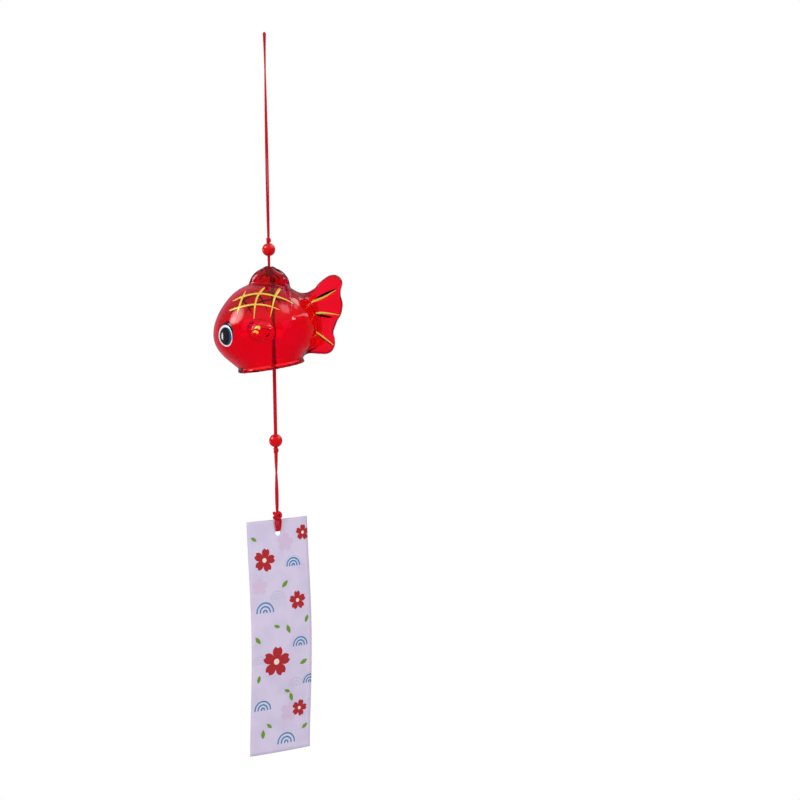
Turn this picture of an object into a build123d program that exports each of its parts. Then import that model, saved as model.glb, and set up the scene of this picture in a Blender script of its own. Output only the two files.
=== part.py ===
from build123d import *
import os
from math import cos, radians, sin, sqrt

# A glass goldfish wind bell that hangs from one doubled cord. The cord folds over a hook at the top,
# is knotted above a bead, passes through the fish's back fin and is stopped by a knot inside. A second
# doubled cord hangs from that knot. It carries a glass clapper tube inside the mouth, a bead on a knot
# and, tied through a punched hole, a paper strip that catches the wind.
# The origin is where the hook bears on the loop. +Z is up, the nose points to -X and the tail to +X.

# Cord: two strands side by side
strand_diameter = 0.8
strand_clearance = 0.06
strand_radius = strand_diameter / 2
strand_offset = (strand_diameter + strand_clearance) / 2
cord_reach = strand_offset + strand_radius
cord_end_gap = 0.15

# Hanging loop and upper knot and bead, as drops below the hook
loop_bend_radius = 0.8
loop_arc = 120
loop_close_drop = 12.0
upper_knot_radius = 1.3
upper_knot_drop = 101.65
upper_bead_diameter = 6.4
lower_bead_diameter = 6.7
bead_bore_clearance = 0.12
bead_bore_radius = cord_reach + bead_bore_clearance
bead_seat_gap = 0.05
neck_cord_entry = 2.4

# Fish: heights above the rim, lengths behind the mouth's centre
bell_drop = 114.15
rim_tilt = 8.58
bell_height = 50.5
hole_setback = 7.4
wall = 1.9
hollow_setback = 0.36
body_radius = 25.4
body_setback = -0.5
equator_height = 18.6
crown_height = 43.0
neck_radius = 15.9
neck_height = 1.7
neck_rise = 47
lip_radius = 0.95
lower_body_shares = ((0.717, 0.178), (0.878, 0.491), (0.98, 0.817), (1.0, 1.0))
upper_body_shares = ((0.959, 0.242), (0.839, 0.488), (0.661, 0.705), (0.457, 0.875), (0.24, 0.971))

# Back fin: an oval hump that is narrow from side to side, with the cord's hole in its top
fin_half_length = 10.8
fin_half_width = 5.6
fin_depth = 10.0
fin_root = 4.5
fin_wall = 1.8
hole_radius = 1.7
fin_depth_shares = (0.0, 0.10, 0.19, 0.34, 0.48, 0.62, 0.77, 1.0)
fin_length_shares = (0.20, 0.31, 0.49, 0.68, 0.80, 0.89, 0.945, 1.0)
fin_width_shares = (0.55, 0.66, 0.74, 0.85, 0.92, 0.96, 0.98, 1.0)

# Tail: a thick fan of three lobes on a root that narrows out of the body
tail_setback = 20.5
tail_length = 21.5
tail_height = 40.4
tail_thickness = 3.8
tail_inset = 8.0
tail_layer_shares = (-1.0, -0.68, 0.0, 0.68, 1.0)
tail_round_shares = (0.73, 0.2, 0.0, 0.2, 0.73)
tail_outline_shares = (
    (0.12, 0.851),
    (0.357, 0.882),
    (0.623, 0.978),
    (0.865, 0.998),
    (0.998, 0.924),
    (0.926, 0.767),
    (0.928, 0.656),
    (0.823, 0.488),
    (0.633, 0.354),
    (0.614, 0.243),
    (0.535, 0.104),
    (0.256, 0.054),
    (0.0, 0.069),
)
root_start = 8.0
root_length = 15.5
root_half_width = 15.0
root_top = 40.5
root_bottom = 4.0
root_length_shares = (0.0, 0.516, 0.774, 1.0)
root_width_shares = (1.0, 0.63, 0.35, 0.17)
root_top_shares = (1.0, 0.948, 0.896, 0.847)
root_bottom_shares = (1.0, 0.9, 0.85, 0.9)

# Side fins: a low oval mound on each flank
side_fin_setback = -2.7
side_fin_height = 19.9
side_fin_half_length = 6.0
side_fin_half_height = 4.75
side_fin_rise = 1.5
side_fin_root = 3.0
side_fin_rise_shares = (0.0, 0.55, 0.9, 1.0)
side_fin_size_shares = (1.0, 0.9, 0.6, 0.36)

# Stopper knot, with two cut cord ends that droop inside the back fin
stopper_radius = 2.2
stopper_clearance = 0.3
cut_end_reach = 4.5
cut_end_drop = 3.2
cut_end_bend = 1.2
cut_end_bend_share = 0.3

# Clapper line: a knot, a doubled cord, a glass tube, a bead and the knot that it sits on
clapper_setback = 1.6
clapper_knot_radius = 1.5
tube_diameter = 2.6
tube_bore_clearance = 0.08
tube_length = 12.3
tube_drop = 150.5
tube_edge = 0.2
lower_bead_drop = 201.85
lower_knot_radius = 1.4

# Paper strip, its knot and the two cord loops through its hole
strip_knot_drop = 239.6
strip_knot_radius = 1.9
strip_width = 35.0
strip_length = 119.5
strip_thickness = 0.35
strip_turn = 26.4
strip_gap = 0.1
strip_hole_radius = 1.55
strip_hole_margin = 6.8
strip_loop_half_span = 0.85
strip_loop_clearance = 0.05

overrun = 5.0

os.makedirs("parts", exist_ok=True)


def write(part, name):
    """Name a finished piece and write it as one STEP file."""
    part.label = name
    export_step(part, f"parts/{name}.step")


def knot(radius, at):
    """A tied knot: a round core under two crossing turns of cord, all within one radius."""
    core_share, turn_share = 0.88, 0.29
    turn_radius = turn_share * radius
    lean = 38
    with BuildPart() as tied:
        with Locations(at):
            Sphere(core_share * radius)
            Torus(radius - turn_radius, turn_radius, rotation=(0, lean, 0))
            Torus(radius - turn_radius, turn_radius, rotation=(0, -lean, 0))
    return tied.part


def doubled_cord(setback, top, bottom):
    """Two straight strands side by side, from one height down to another."""
    with BuildPart() as cord:
        with BuildSketch(Plane.XY.offset(bottom)):
            with Locations((setback - strand_offset, 0), (setback + strand_offset, 0)):
                Circle(strand_radius)
        extrude(amount=top - bottom)
    return cord.part


def bead(diameter, at):
    """A round bead with a bore for the doubled cord."""
    with BuildPart() as ball:
        with Locations(at):
            Sphere(diameter / 2)
            Cylinder(bead_bore_radius, diameter, mode=Mode.SUBTRACT)
    return ball.part


# Hanging loop: the fold of the cord that lies over the hook
loop_centre = strand_radius - loop_bend_radius
with BuildPart() as hanging_loop:
    with BuildLine(Plane.XZ) as fold:
        CenterArc((0, loop_centre), loop_bend_radius, (180 - loop_arc) / 2, loop_arc)
    with BuildSketch(Plane(fold.wires()[0] @ 0, z_dir=fold.wires()[0] % 0)):
        Circle(strand_radius)
    sweep()
write(hanging_loop.part, "hanging_loop")

# Hanging cord: its two strands close up below the hook and end in the upper knot
strand_end = -upper_knot_drop + upper_knot_radius + bead_seat_gap
with BuildPart() as hanging_cord:
    for side in (-1, 1):
        with BuildLine(Plane.XZ) as strand:
            Polyline(
                (side * loop_bend_radius, loop_centre),
                (side * strand_offset, -loop_close_drop),
                (side * strand_offset, strand_end),
            )
        with BuildSketch(Plane(strand.wires()[0] @ 0, z_dir=strand.wires()[0] % 0)):
            Circle(strand_radius)
        sweep(path=strand.wires()[0], transition=Transition.ROUND)
write(hanging_cord.part, "hanging_cord")

# Upper knot and bead
write(knot(upper_knot_radius, (0, 0, -upper_knot_drop)), "upper_knot")
upper_bead_top = -upper_knot_drop - upper_knot_radius - bead_seat_gap
upper_bead_centre = upper_bead_top - upper_bead_diameter / 2
write(bead(upper_bead_diameter, (0, 0, upper_bead_centre)), "upper_bead")

# Neck cord: from inside the upper bead through the hole to the stopper knot
knot_lift = sqrt((stopper_radius + stopper_clearance) ** 2 - hole_radius**2)
stopper_z = -bell_drop - fin_wall - knot_lift
neck_top = upper_bead_top - neck_cord_entry
neck_bottom = stopper_z + stopper_radius + cord_end_gap
write(doubled_cord(0, neck_top, neck_bottom), "neck_cord")

# Frame of the fish: the rim's plane, tilted nose down, with its middle under the back fin
tilt = radians(rim_tilt)
along = Vector(cos(tilt), 0, sin(tilt))
upward = Vector(-sin(tilt), 0, cos(tilt))
across = Vector(0, 1, 0)
apex = Vector(0, 0, -bell_drop)
mouth = apex - along * hole_setback - upward * bell_height
side_plane = Plane(mouth, x_dir=along, z_dir=-across)
body_plane = Plane(mouth + along * body_setback, x_dir=along, z_dir=-across)
body_axis = Axis(body_plane.origin, upward)
hollow_plane = Plane(body_plane.origin + along * hollow_setback, x_dir=along, z_dir=-across)
hollow_axis = Axis(hollow_plane.origin, upward)


def body_profile(inset):
    """Half of the body's outline, moved in from the glass's outer face by an inset."""
    radius = body_radius - inset
    neck = neck_radius - inset
    rise = crown_height - inset - equator_height
    points = [(neck, neck_height)]
    for out, up in lower_body_shares:
        points.append((out * radius, neck_height + up * (equator_height - neck_height)))
    for out, up in upper_body_shares:
        points.append((out * radius, equator_height + up * rise))
    points.append((0, crown_height - inset))
    start = (cos(radians(neck_rise)), sin(radians(neck_rise)))
    Spline(*points, tangents=(start, (-1, 0)))
    foot = -overrun if inset else 0
    Polyline((0, crown_height - inset), (0, foot), (neck, foot), (neck, neck_height))


def fin_ovals(inset):
    """Heights and half axes of level ovals through the back fin, moved in from its outer face."""
    ovals = []
    for down, long, wide in zip(fin_depth_shares, fin_length_shares, fin_width_shares):
        level = -bell_drop - inset - down * (fin_depth - inset)
        ovals.append((level, long * (fin_half_length - inset), wide * (fin_half_width - inset)))
    ovals.append((-bell_drop - fin_depth - fin_root, fin_half_length - inset, fin_half_width - inset))
    return ovals


# Tail fan: nested outlines across its thickness round off the free edge
tail_middle = Vector(tail_setback, tail_height / 2)
with BuildPart() as tail_fan:
    for layer, pull in zip(tail_layer_shares, tail_round_shares):
        edge_points = []
        for out, up in tail_outline_shares:
            corner = Vector(tail_setback + out * tail_length, up * tail_height)
            inward = (tail_middle - corner).normalized()
            corner += inward * (pull * tail_thickness / 2)
            edge_points.append((corner.X, corner.Y))
        inner = tail_setback - tail_inset
        with BuildSketch(side_plane.offset(layer * tail_thickness / 2)):
            with BuildLine():
                Spline(*edge_points)
                Polyline(
                    edge_points[-1],
                    (inner, edge_points[-1][1]),
                    (inner, edge_points[0][1]),
                    edge_points[0],
                )
            make_face()
    loft()

# Fish bell: body, rim, back fin, tail and side fins are one piece of glass, hollow and open below
with BuildPart() as fish_bell:
    with BuildSketch(body_plane):
        with BuildLine():
            body_profile(0)
        make_face()
    revolve(axis=body_axis)
    with BuildSketch(body_plane):
        with Locations((neck_radius, lip_radius)):
            Circle(lip_radius)
    revolve(axis=body_axis)
    for level, half_length, half_width in fin_ovals(0):
        with BuildSketch(Plane.XY.offset(level)):
            Ellipse(half_length, half_width)
    loft()
    for out, wide, top, bottom in zip(
        root_length_shares, root_width_shares, root_top_shares, root_bottom_shares
    ):
        high = top * root_top
        low = bottom * root_bottom
        place = mouth + along * (root_start + out * root_length) + upward * ((high + low) / 2)
        with BuildSketch(Plane(place, x_dir=across, z_dir=along)):
            Ellipse(wide * root_half_width, (high - low) / 2)
    loft()
    add(tail_fan.part)
    for side in (-1, 1):
        for rise, size in zip(side_fin_rise_shares, side_fin_size_shares):
            out = body_radius - side_fin_root + rise * (side_fin_root + side_fin_rise)
            place = mouth + along * side_fin_setback + upward * side_fin_height + across * (side * out)
            with BuildSketch(Plane(place, x_dir=along, z_dir=across * side)):
                Ellipse(size * side_fin_half_length, size * side_fin_half_height)
        loft()
    with BuildSketch(hollow_plane):
        with BuildLine():
            body_profile(wall)
        make_face()
    revolve(axis=hollow_axis, mode=Mode.SUBTRACT)
    for level, half_length, half_width in fin_ovals(fin_wall):
        with BuildSketch(Plane.XY.offset(level)):
            Ellipse(half_length, half_width)
    loft(mode=Mode.SUBTRACT)
    with Locations(apex):
        Cylinder(hole_radius, fin_wall * 2 + overrun, mode=Mode.SUBTRACT)
write(fish_bell.part, "fish_bell")

# Stopper knot: its two cut ends droop to the nose and to the tail inside the back fin
with BuildPart() as stopper_knot:
    add(knot(stopper_radius, (0, 0, stopper_z)))
    for side in (-1, 1):
        with BuildLine(Plane.XZ) as cut_end:
            FilletPolyline(
                (0, stopper_z),
                (side * cut_end_reach, stopper_z - cut_end_drop * cut_end_bend_share),
                (side * cut_end_reach, stopper_z - cut_end_drop),
                radius=cut_end_bend,
            )
        with BuildSketch(Plane(cut_end.wires()[0] @ 0, z_dir=cut_end.wires()[0] % 0)):
            Circle(strand_radius)
        sweep(path=cut_end.wires()[0])
write(stopper_knot.part, "stopper_knot")

# Clapper knot: it hangs against the stopper knot, on the tail side
knot_spacing = stopper_radius + stopper_clearance + clapper_knot_radius
clapper_z = stopper_z - sqrt(knot_spacing**2 - clapper_setback**2)
write(knot(clapper_knot_radius, (clapper_setback, 0, clapper_z)), "clapper_knot")

# Lower bead and the knot that it sits on
lower_bead_z = -lower_bead_drop
lower_knot_z = lower_bead_z - lower_bead_diameter / 2 - bead_seat_gap - lower_knot_radius
write(bead(lower_bead_diameter, (clapper_setback, 0, lower_bead_z)), "lower_bead")
write(knot(lower_knot_radius, (clapper_setback, 0, lower_knot_z)), "lower_knot")

# Clapper cord: from the clapper knot through the tube and the bead to the lower knot
clapper_top = clapper_z - clapper_knot_radius - cord_end_gap
clapper_bottom = lower_knot_z + lower_knot_radius + bead_seat_gap
write(doubled_cord(clapper_setback, clapper_top, clapper_bottom), "clapper_cord")

# Clapper tube: clear glass, just inside the mouth, where it strikes the rim
with BuildPart() as clapper_tube:
    with BuildSketch(Plane.XY.offset(-tube_drop - tube_length)):
        with Locations((clapper_setback, 0)):
            Circle(tube_diameter / 2)
            Circle(cord_reach + tube_bore_clearance, mode=Mode.SUBTRACT)
    extrude(amount=tube_length)
    rims = clapper_tube.edges().filter_by(GeomType.CIRCLE).sort_by(SortBy.RADIUS)[-2:]
    fillet(rims, radius=tube_edge)
write(clapper_tube.part, "clapper_tube")

# Strip cord: from the lower knot to the strip's knot
strip_knot_z = -strip_knot_drop
strip_cord_top = lower_knot_z - lower_knot_radius - cord_end_gap
strip_cord_bottom = strip_knot_z + strip_knot_radius + cord_end_gap
write(doubled_cord(clapper_setback, strip_cord_top, strip_cord_bottom), "strip_cord")
write(knot(strip_knot_radius, (clapper_setback, 0, strip_knot_z)), "strip_knot")

# Paper strip: it hangs turned about the cord, with a punched hole near its top edge
turn = radians(strip_turn)
strip_across = Vector(cos(turn), sin(turn), 0)
strip_face = Vector(sin(turn), -cos(turn), 0)
strip_top_z = strip_knot_z - strip_knot_radius - strip_gap
strip_hole_z = strip_top_z - strip_hole_margin
strip_plane = Plane((clapper_setback, 0, strip_top_z), x_dir=strip_across, z_dir=strip_face)
with BuildPart() as paper_strip:
    with BuildSketch(strip_plane):
        with Locations((0, -strip_length / 2)):
            Rectangle(strip_width, strip_length)
        with Locations((0, -strip_hole_margin)):
            Circle(strip_hole_radius, mode=Mode.SUBTRACT)
    extrude(amount=strip_thickness / 2, both=True)
write(paper_strip.part, "paper_strip")

# Strip loops: two strands from the knot, down one face, through the hole and up the other face
loop_bottom = -strip_hole_margin + strip_hole_radius - strip_loop_clearance - strand_radius
loop_top = -strip_gap - strip_loop_clearance
with BuildPart() as strip_loop:
    for side in (-1, 1):
        start = strip_plane.origin + strip_across * (side * strand_offset)
        with BuildLine(Plane(start, x_dir=strip_face, z_dir=-strip_across)) as bend:
            bend_top = loop_bottom + strip_loop_half_span
            down = Line((-strip_loop_half_span, loop_top), (-strip_loop_half_span, bend_top))
            turned = TangentArc(down @ 1, (strip_loop_half_span, bend_top), tangent=down % 1)
            Line(turned @ 1, (strip_loop_half_span, loop_top))
        with BuildSketch(Plane(bend.wires()[0] @ 0, z_dir=bend.wires()[0] % 0)):
            Circle(strand_radius)
        sweep(path=bend.wires()[0])
write(strip_loop.part, "strip_loop")

hang = fish_bell.part.center(CenterOf.MASS)
print("bell's centre of mass, setback and drop from the stopper knot:", hang.X, stopper_z - hang.Z)
print("fold radii:", loop_bend_radius, cut_end_bend, strip_loop_half_span)
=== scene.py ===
from math import asin, atan2, cos, hypot, pi, radians, sin, tau

import bmesh
import bpy
import numpy as np
from mathutils import Matrix, Vector


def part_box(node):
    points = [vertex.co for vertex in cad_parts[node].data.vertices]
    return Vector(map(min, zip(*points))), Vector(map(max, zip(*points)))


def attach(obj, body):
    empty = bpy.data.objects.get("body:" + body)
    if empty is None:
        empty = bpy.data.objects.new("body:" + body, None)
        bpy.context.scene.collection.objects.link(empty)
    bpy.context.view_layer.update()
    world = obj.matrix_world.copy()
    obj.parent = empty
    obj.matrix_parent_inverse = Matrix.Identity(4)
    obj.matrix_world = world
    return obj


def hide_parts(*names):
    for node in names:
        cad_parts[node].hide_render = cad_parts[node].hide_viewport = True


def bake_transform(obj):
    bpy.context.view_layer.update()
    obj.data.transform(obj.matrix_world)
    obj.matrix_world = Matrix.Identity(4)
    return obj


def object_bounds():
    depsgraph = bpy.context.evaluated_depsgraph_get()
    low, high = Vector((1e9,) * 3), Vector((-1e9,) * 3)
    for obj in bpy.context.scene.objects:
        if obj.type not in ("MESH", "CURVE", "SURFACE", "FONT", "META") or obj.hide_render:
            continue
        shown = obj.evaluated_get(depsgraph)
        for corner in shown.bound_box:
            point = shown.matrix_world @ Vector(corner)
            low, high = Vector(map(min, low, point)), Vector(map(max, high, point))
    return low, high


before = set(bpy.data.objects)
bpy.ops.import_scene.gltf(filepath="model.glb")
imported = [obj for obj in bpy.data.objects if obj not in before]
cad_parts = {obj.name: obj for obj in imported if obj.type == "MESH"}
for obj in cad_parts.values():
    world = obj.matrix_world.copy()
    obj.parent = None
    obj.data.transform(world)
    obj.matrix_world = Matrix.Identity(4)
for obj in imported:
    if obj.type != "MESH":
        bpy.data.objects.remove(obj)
cad_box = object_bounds()

# The studio: a white room that the glass is seen against, with soft light from the left, the right
# and overhead. The camera stands about a metre in front of the bell, level with its upper cord.
scene = bpy.context.scene
scene.view_settings.view_transform = "Standard"
scene.cycles.max_bounces = 24
scene.cycles.glossy_bounces = 16
scene.cycles.transmission_bounces = 24
MM = 0.001


def placed(name, data):
    """A new object in the scene."""
    thing = bpy.data.objects.new(name, data)
    scene.collection.objects.link(thing)
    return thing


lens_data = bpy.data.cameras.new("camera")
lens_data.sensor_width = 36
lens_data.lens = 90
camera = placed("camera", lens_data)
scene.camera = camera
camera_place = Vector((-0.06279, -0.99803, -0.0955))
camera_yaw, camera_pitch, camera_roll = radians(7.283), radians(4.970), radians(-0.842)
camera.matrix_world = (
    Matrix.Translation(camera_place)
    @ Matrix.Rotation(-camera_yaw, 4, "Z")
    @ Matrix.Rotation(pi / 2 - camera_pitch, 4, "X")
    @ Matrix.Rotation(camera_roll, 4, "Z")
)


class Wire:
    """A node's output. Arithmetic on it adds nodes to its tree."""

    def __init__(self, socket):
        self.socket = socket

    @staticmethod
    def add(tree, kind, settings=None, inputs=None, output=0):
        """One node: its settings come first, then the values or links of its sockets."""
        node = tree.nodes.new(kind)
        for name, value in (settings or {}).items():
            if name == "curve":
                curve = node.mapping.curves[0]
                while len(curve.points) < len(value):
                    curve.points.new(0.5, 0.5)
                for point, place in zip(curve.points, value):
                    point.location = place
                node.mapping.update()
            else:
                setattr(node, name, value)
        for name, value in (inputs or {}).items():
            if isinstance(value, Wire):
                tree.links.new(value.socket, node.inputs[name])
            else:
                node.inputs[name].default_value = value
        return Wire(node.outputs[output])

    def into(self, kind, settings=None, inputs=None, output=0):
        """One node in the same tree, with this value on its first socket."""
        values = {0: self, **(inputs or {})}
        return Wire.add(self.socket.id_data, kind, settings, values, output)

    def __getitem__(self, output):
        return Wire(self.socket.node.outputs[output])

    def to(self, node, socket):
        """Link this value to a socket of a node that is already there."""
        self.socket.id_data.links.new(self.socket, node.inputs[socket])

    def vector(self, operation, other, output=0):
        """One step of vector arithmetic."""
        values = {"Scale" if operation == "SCALE" else 1: other}
        return self.into("ShaderNodeVectorMath", {"operation": operation}, values, output)

    def dot(self, direction):
        """How far this vector reaches along a direction."""
        return self.vector("DOT_PRODUCT", direction, "Value")

    def split(self):
        """This vector's three parts."""
        parts = self.into("ShaderNodeSeparateXYZ")
        return parts["X"], parts["Y"], parts["Z"]

    def noise(self, scale, detail):
        """A noise over this place."""
        return self.into("ShaderNodeTexNoise", {}, {"Scale": scale, "Detail": detail}, "Fac")

    def maths(self, operation, *others):
        values = dict(enumerate(others, 1))
        return self.into("ShaderNodeMath", {"operation": operation}, values)

    def rise(self, low, high):
        """0 up to low and 1 from high on, with a soft step between."""
        settings = {"interpolation_type": "SMOOTHSTEP"}
        return self.into("ShaderNodeMapRange", settings, {1: low, 2: high})

    def mix(self, first, second):
        """The colour this share of the way from one colour to another."""
        return self.into("ShaderNodeMix", {"data_type": "RGBA"}, {6: first, 7: second}, 2)

    def bump(self, shader, strength, distance):
        """Raise a shader's surface by this height."""
        values = {"Strength": strength, "Distance": distance, "Height": self}
        Wire.add(self.socket.id_data, "ShaderNodeBump", {}, values).to(shader, "Normal")

    def __add__(self, other):
        return self.maths("ADD", other)

    def __sub__(self, other):
        return self.maths("SUBTRACT", other)

    def __rsub__(self, other):
        return self.maths("MULTIPLY_ADD", -1, other)

    def __mul__(self, other):
        return self.maths("MULTIPLY", other)

    def __truediv__(self, other):
        return self.maths("DIVIDE", other)

    def __abs__(self):
        return self.maths("ABSOLUTE")

    __radd__ = __add__
    __rmul__ = __mul__


world = bpy.data.worlds.new("studio")
scene.world = world
world.use_nodes = True
ray = Wire.add(world.node_tree, "ShaderNodeLightPath")
facing = Wire.add(world.node_tree, "ShaderNodeTexCoord", output="Generated")
rightward, depthwise, height = facing.split()


def softbox(direction, inner, outer):
    """How much of a round light with a soft edge is met in each direction."""
    met = facing.dot(Vector(direction).normalized())
    return met.rise(cos(radians(outer)), cos(radians(inner)))


ambient = 0.68
left_box = softbox((-0.80, -0.02, 0.60), 5, 18) * 5.5 + softbox((-0.87, 0.04, 0.48), 3, 10) * 3
right_strip = (
    softbox((0.66, 0.36, 0.65), 3, 9) * 4
    + softbox((0.68, 0.15, 0.72), 3, 10) * 2.4
    + softbox((0.57, -0.12, 0.81), 3, 12) * 2.0
    + softbox((0.64, 0.64, 0.425), 2, 8) * 2.4
)
small_lamps = (
    softbox((0.863, -0.212, 0.458), 1.2, 3) * 9
    + softbox((0.842, -0.286, 0.458), 1.2, 3) * 9
    + softbox((-0.911, 0.41, 0.01), 1.5, 4) * 5
    + softbox((-0.911, 0.41, -0.08), 1.5, 4.5) * 7
    + softbox((-0.911, 0.41, -0.17), 1.5, 4) * 5
)
overhead = height.rise(0.25, 0.9)
off_tube = abs(facing.dot(Vector((-0.451, 0.242, 0.859))))
tube_light = (1 - off_tube.rise(0.008, 0.04)) * depthwise.rise(-0.2, 0.0) * rightward.rise(0.6, 0.8)
backdrop = depthwise.rise(0.2, 0.95)
walls = 0.05 + overhead * 0.3 + backdrop * 0.2
mirrored = walls + left_box + right_strip + small_lamps + tube_light * 1.8
behind = depthwise.rise(0.1, 0.6)
below = (0 - height).rise(-0.25, 0.15)
seen_through = behind.maths("MAXIMUM", below) * 0.72 + 0.28
room = (
    ambient
    + ray["Is Camera Ray"] * (1 - ambient)
    + ray["Is Glossy Ray"] * (1 - ray["Is Transmission Ray"]) * (mirrored - ambient)
    + ray["Is Transmission Ray"] * (seen_through - ambient)
)
room.to(world.node_tree.nodes["Background"], "Strength")
world.node_tree.nodes["Background"].inputs["Color"].default_value = (1, 1, 1, 1)

bell_middle = Vector((0, 0, -0.18))
for lamp_name, direction, distance, size, power in (
    ("key_lamp", (-0.62, -0.62, 0.48), 1.3, 0.7, 7.5),
    ("fill_lamp", (0.75, -0.55, 0.35), 1.4, 0.6, 4.5),
):
    lamp_data = bpy.data.lights.new(lamp_name, "AREA")
    lamp_data.size = size
    lamp_data.energy = power
    lamp = placed(lamp_name, lamp_data)
    lamp.visible_glossy = False
    away = Vector(direction).normalized()
    turn = away.to_track_quat("Z", "Y").to_matrix().to_4x4()
    lamp.matrix_world = Matrix.Translation(bell_middle + away * distance) @ turn


def new_finish(name, even):
    """A material whose even values are set on its Principled shader's own sockets."""
    finish = bpy.data.materials.new(name)
    finish.use_nodes = True
    shader = finish.node_tree.nodes["Principled BSDF"]
    for socket, value in even.items():
        shader.inputs[socket].default_value = value
    return finish, finish.node_tree, shader


floor_drop, floor_half = 0.30, 0.5
floor_mesh = bpy.data.meshes.new("floor")
floor_level = cad_box[0][2] - floor_drop
floor_signs = ((-1, -1), (1, -1), (1, 1), (-1, 1))
floor_corners = [(x * floor_half, y * floor_half, floor_level) for x, y in floor_signs]
floor_mesh.from_pydata(floor_corners, [], [(0, 1, 2, 3)])
floor = placed("floor", floor_mesh)
floor_finish, tree, shader = new_finish("pale_floor", {"Base Color": (0.82, 0.82, 0.82, 1)})
shown = Wire.add(tree, "ShaderNodeLightPath")["Is Camera Ray"] * 0.9
glow = Wire.add(tree, "ShaderNodeEmission", {}, {"Color": (1, 1, 1, 1)})
floor_mix = shown.into("ShaderNodeMixShader", {}, {1: Wire(shader.outputs[0]), 2: glow})
floor_mix.to(tree.nodes["Material Output"], "Surface")
floor_mesh.materials.append(floor_finish)
floor.visible_glossy = False
floor.visible_transmission = False

# Hanging cord: one length of red three-ply thread, folded over the hook at the top. Its two strands
# close up below the fold, turn half round each other on the way down and end in the upper knot.
strand_radius = 0.42 * MM
strand_offset = 0.43 * MM
ply_count = 3
ply_pitch = 2.6 * MM
ply_depth = 0.09
strand_sides = 18
route_steps = 48


def add_spline(curve, points, widths):
    """Draw a smooth NURBS spline with these control points."""
    spline = curve.splines.new("NURBS")
    spline.points.add(len(points) - 1)
    for control, point, width in zip(spline.points, points, widths):
        control.co = (*point, 1)
        control.radius = width
    spline.order_u = 3
    spline.use_endpoint_u = True


def route(points):
    """Points along the smooth line that a NURBS spline draws for a cord's route."""
    curve = bpy.data.curves.new("route", "CURVE")
    curve.dimensions = "3D"
    curve.resolution_u = route_steps
    add_spline(curve, points, [1] * len(points))
    carrier = bpy.data.objects.new("route", curve)
    mesh = bpy.data.meshes.new_from_object(carrier)
    line = np.array([vertex.co for vertex in mesh.vertices])
    bpy.data.meshes.remove(mesh)
    bpy.data.curves.remove(curve)
    return line


def uv_layer(bm):
    """The mesh's UV map."""
    return bm.loops.layers.uv.get("UVMap") or bm.loops.layers.uv.new("UVMap")


def add_strand(bm, line, radius, closed=False):
    """A strand of twisted plies about a line. Its UV runs round it, and along it in girths."""
    if closed:
        along = np.roll(line, -1, 0) - np.roll(line, 1, 0)
    else:
        along = np.gradient(line, axis=0)
    along /= np.linalg.norm(along, axis=1)[:, None]
    steps = np.linalg.norm(np.diff(line, axis=0), axis=1)
    walked = np.concatenate([[0], np.cumsum(steps)])
    girth = tau * radius
    side = np.cross(along[0], (0.31, 0.94, 0.15))
    layer = uv_layer(bm)
    rings = []
    for point, heading, distance in zip(line, along, walked):
        side = side - heading * side.dot(heading)
        side /= np.linalg.norm(side)
        other = np.cross(heading, side)
        ring = []
        for k in range(strand_sides):
            angle = tau * k / strand_sides
            lobe = abs(cos(ply_count / 2 * (angle - tau * distance / ply_pitch / ply_count)))
            out = radius * (1 - ply_depth + ply_depth * lobe)
            ring.append(bm.verts.new(point + (side * cos(angle) + other * sin(angle)) * out))
        rings.append(ring)
    pairs = list(zip(range(len(rings) - 1), range(1, len(rings))))
    if closed:
        pairs.append((len(rings) - 1, 0))
        walked = np.append(walked, walked[-1] + steps[-1])
    for start, end in pairs:
        near, far = rings[start], rings[end]
        low, high = walked[start] / girth, walked[start + 1] / girth
        for k in range(strand_sides):
            nxt = (k + 1) % strand_sides
            face = bm.faces.new((near[k], near[nxt], far[nxt], far[k]))
            face.smooth = True
            spots = ((k, low), (k + 1, low), (k + 1, high), (k, high))
            for loop, (turn, length) in zip(face.loops, spots):
                loop[layer].uv = (turn / strand_sides, length)
    if not closed:
        bm.faces.new(reversed(rings[0]))
        bm.faces.new(rings[-1])


def fitted(name, bm, finish, body, nodes):
    """Make a piece of a built mesh, on its body and in the place of its CAD nodes."""
    mesh = bpy.data.meshes.new(name)
    bm.to_mesh(mesh)
    bm.free()
    mesh.materials.append(finish)
    piece = placed(name, mesh)
    if body:
        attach(piece, body)
    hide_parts(*nodes)
    return piece


def unwrapped(tree):
    """Each point's place on the UV map."""
    return Wire.add(tree, "ShaderNodeUVMap", {"uv_map": "UVMap"})


thread, tree, shader = new_finish("red_thread", {"Specular IOR Level": 0.2})
turn_share, girths, _ = unwrapped(tree).split()
ply_lay = turn_share - girths * (tau * strand_radius / ply_pitch / ply_count)
ply_edge = abs((ply_lay * (pi * ply_count)).maths("COSINE"))
fibre_spot = (ply_lay * 40).into("ShaderNodeCombineXYZ", {}, {1: girths * 1.5})
fibre = fibre_spot.noise(1, 4)
# Painted shade: the thread is darker in the grooves between its plies.
groove_shaded_red = ply_edge.rise(0, 0.7).mix((0.30, 0.001, 0.006, 1), (0.60, 0.003, 0.016, 1))
# Painted highlight: light spots along the fibres stand in for the thread's sheen.
painted_fibre_sheen = (fibre.rise(0.45, 0.8) * 0.3).mix(groove_shaded_red, (0.74, 0.03, 0.05, 1))
painted_fibre_sheen.to(shader, "Base Color")
(fibre * 0.25 + 0.55).to(shader, "Roughness")
fibre_height = fibre * 0.5 + ply_edge * 0.5
fibre_height.bump(shader, 0.5, 0.00008)

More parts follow.
